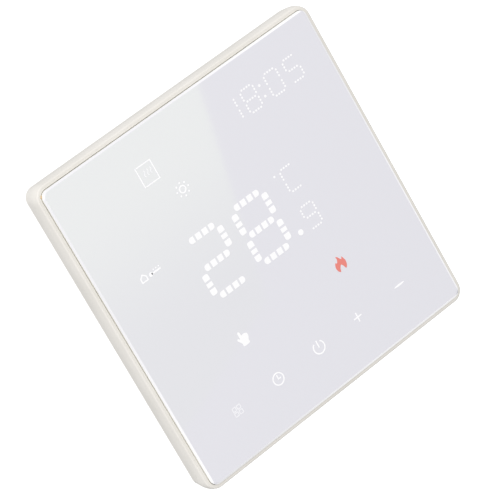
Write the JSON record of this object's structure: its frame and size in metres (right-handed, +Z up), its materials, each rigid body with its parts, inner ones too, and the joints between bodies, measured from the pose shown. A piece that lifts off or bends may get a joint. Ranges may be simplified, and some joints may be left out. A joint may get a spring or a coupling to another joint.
{
  "type": "wall thermostat",
  "caption": "Flush wall thermostat with a square touch-glass front that pulls off a steel wall plate and a sealed power unit with screw terminals.",
  "frame": {"origin": "centre of the wall plate on the wall plane, midway between the two fixing screws", "axes": "-Y out of the wall into the room (the display faces -Y), +X to the right and +Z up as seen from the room"},
  "size_m": [0.086, 0.0356, 0.086],
  "materials": {
    "tinted_glass": "polished float glass, back-printed white",
    "adhesive_foam": "matte foam tape",
    "white_plastic": "satin moulded polycarbonate blend",
    "white_film": "matte polyester film",
    "reflector_white": "bright moulded white",
    "led_emitter": "lit",
    "spring_steel": "drawn wire",
    "board_laminate": "solder-masked glass epoxy",
    "radio_laminate": "solder-masked glass epoxy",
    "zinc_steel": "zinc plated",
    "black_epoxy": "moulded epoxy",
    "nickel_can": "nickel plated sheet",
    "steel_cell": "drawn and polished",
    "black_plastic": "moulded",
    "galvanised_steel": "galvanised sheet",
    "light_grey_plastic": "spark-eroded texture",
    "gold_brass": "gold flashed",
    "terminal_nylon": "moulded nylon",
    "tinned_brass": "tinned",
    "relay_plastic": "moulded",
    "bobbin_plastic": "moulded",
    "copper_wire": "enamelled winding",
    "soft_iron": "nickel plated soft iron",
    "ferrite": "sintered",
    "winding_tape": "polyester tape",
    "capacitor_sleeve": "shrink sleeve",
    "yellow_epoxy_box": "moulded box",
    "blue_epoxy": "dipped epoxy",
    "fuse_glass": "glass tube with plated caps"
  },
  "bodies": {
    "root": {"mounting_plate": "galvanised_steel", "power_box": "light_grey_plastic", "power_cover": "light_grey_plastic", "plate_screws": "zinc_steel", "power_board": "board_laminate", "header_strip": "black_plastic", "header_pins": "gold_brass", "terminal_block": "terminal_nylon", "contact_bars": "tinned_brass", "relay_base": "relay_plastic", "relay_case": "relay_plastic", "relay_bobbin": "bobbin_plastic", "relay_coil": "copper_wire", "relay_yoke": "soft_iron", "relay_contact": "tinned_brass", "transformer_core": "ferrite", "transformer_winding": "winding_tape", "electrolytic_capacitors": "capacitor_sleeve", "filter_capacitor": "yellow_epoxy_box", "varistor": "blue_epoxy", "fuse": "fuse_glass", "rectifier": "black_epoxy"},
    "display_unit": {"front_glass": "tinted_glass", "glass_tape": "adhesive_foam", "front_frame": "white_plastic", "mask_film": "white_film", "diffuser_sheet": "white_film", "reflector_block": "reflector_white", "segment_leds": "led_emitter", "touch_springs": "spring_steel", "display_board": "board_laminate", "board_screws": "zinc_steel", "microcontroller": "black_epoxy", "crystal": "nickel_can", "radio_board": "radio_laminate", "radio_shield": "nickel_can", "coin_cell": "steel_cell", "cell_clip": "nickel_can", "buzzer": "black_plastic", "room_sensor": "black_epoxy", "header_socket": "black_plastic", "driver_chips": "black_epoxy"},
    "relay_armature": {"relay_armature": "soft_iron", "relay_blade": "tinned_brass"},
    "terminal_screw_1": {"terminal_screw_1": "zinc_steel"},
    "terminal_cage_1": {"terminal_cage_1": "zinc_steel"},
    "terminal_screw_2": {"terminal_screw_2": "zinc_steel"},
    "terminal_cage_2": {"terminal_cage_2": "zinc_steel"},
    "terminal_screw_3": {"terminal_screw_3": "zinc_steel"},
    "terminal_cage_3": {"terminal_cage_3": "zinc_steel"},
    "terminal_screw_4": {"terminal_screw_4": "zinc_steel"},
    "terminal_cage_4": {"terminal_cage_4": "zinc_steel"},
    "terminal_screw_5": {"terminal_screw_5": "zinc_steel"},
    "terminal_cage_5": {"terminal_cage_5": "zinc_steel"},
    "terminal_screw_6": {"terminal_screw_6": "zinc_steel"},
    "terminal_cage_6": {"terminal_cage_6": "zinc_steel"}
  },
  "joints": [
    {"name": "display_pull", "type": "slide", "parent": "root", "child": "display_unit", "axis": [0, -1, 0], "range_m": [0, 0.04]},
    {"name": "terminal_screw_turn_1", "type": "hinge", "parent": "root", "child": "terminal_screw_1", "pos_m": [-0.0165, 0.01885, -0.0151], "axis": [0, -1, 0], "range_deg": [0, 2160]},
    {"name": "terminal_cage_climb_1", "type": "slide", "parent": "root", "child": "terminal_cage_1", "axis": [0, 1, 0], "range_m": [0, 0.003]},
    {"name": "terminal_screw_turn_2", "type": "hinge", "parent": "root", "child": "terminal_screw_2", "pos_m": [-0.0099, 0.01885, -0.0151], "axis": [0, -1, 0], "range_deg": [0, 2160]},
    {"name": "terminal_cage_climb_2", "type": "slide", "parent": "root", "child": "terminal_cage_2", "axis": [0, 1, 0], "range_m": [0, 0.003]},
    {"name": "terminal_screw_turn_3", "type": "hinge", "parent": "root", "child": "terminal_screw_3", "pos_m": [-0.0033, 0.01885, -0.0151], "axis": [0, -1, 0], "range_deg": [0, 2160]},
    {"name": "terminal_cage_climb_3", "type": "slide", "parent": "root", "child": "terminal_cage_3", "axis": [0, 1, 0], "range_m": [0, 0.003]},
    {"name": "terminal_screw_turn_4", "type": "hinge", "parent": "root", "child": "terminal_screw_4", "pos_m": [0.0033, 0.01885, -0.0151], "axis": [0, -1, 0], "range_deg": [0, 2160]},
    {"name": "terminal_cage_climb_4", "type": "slide", "parent": "root", "child": "terminal_cage_4", "axis": [0, 1, 0], "range_m": [0, 0.003]},
    {"name": "terminal_screw_turn_5", "type": "hinge", "parent": "root", "child": "terminal_screw_5", "pos_m": [0.0099, 0.01885, -0.0151], "axis": [0, -1, 0], "range_deg": [0, 2160]},
    {"name": "terminal_cage_climb_5", "type": "slide", "parent": "root", "child": "terminal_cage_5", "axis": [0, 1, 0], "range_m": [0, 0.003]},
    {"name": "terminal_screw_turn_6", "type": "hinge", "parent": "root", "child": "terminal_screw_6", "pos_m": [0.0165, 0.01885, -0.0151], "axis": [0, -1, 0], "range_deg": [0, 2160]},
    {"name": "terminal_cage_climb_6", "type": "slide", "parent": "root", "child": "terminal_cage_6", "axis": [0, 1, 0], "range_m": [0, 0.003]},
    {"name": "relay_armature_tip", "type": "hinge", "parent": "root", "child": "relay_armature", "pos_m": [-0.0035, 0.0202, 0.0002], "axis": [0, 0, -1], "range_deg": [0, 5], "stiffness_Nm_per_rad": 0.01, "springref_deg": -2.86}
  ],
  "couplings": [
    {"joint": "terminal_screw_turn_1", "follows": "terminal_cage_climb_1", "rad_per_m": 12566},
    {"joint": "terminal_screw_turn_2", "follows": "terminal_cage_climb_2", "rad_per_m": 12566},
    {"joint": "terminal_screw_turn_3", "follows": "terminal_cage_climb_3", "rad_per_m": 12566},
    {"joint": "terminal_screw_turn_4", "follows": "terminal_cage_climb_4", "rad_per_m": 12566},
    {"joint": "terminal_screw_turn_5", "follows": "terminal_cage_climb_5", "rad_per_m": 12566},
    {"joint": "terminal_screw_turn_6", "follows": "terminal_cage_climb_6", "rad_per_m": 12566}
  ]
}
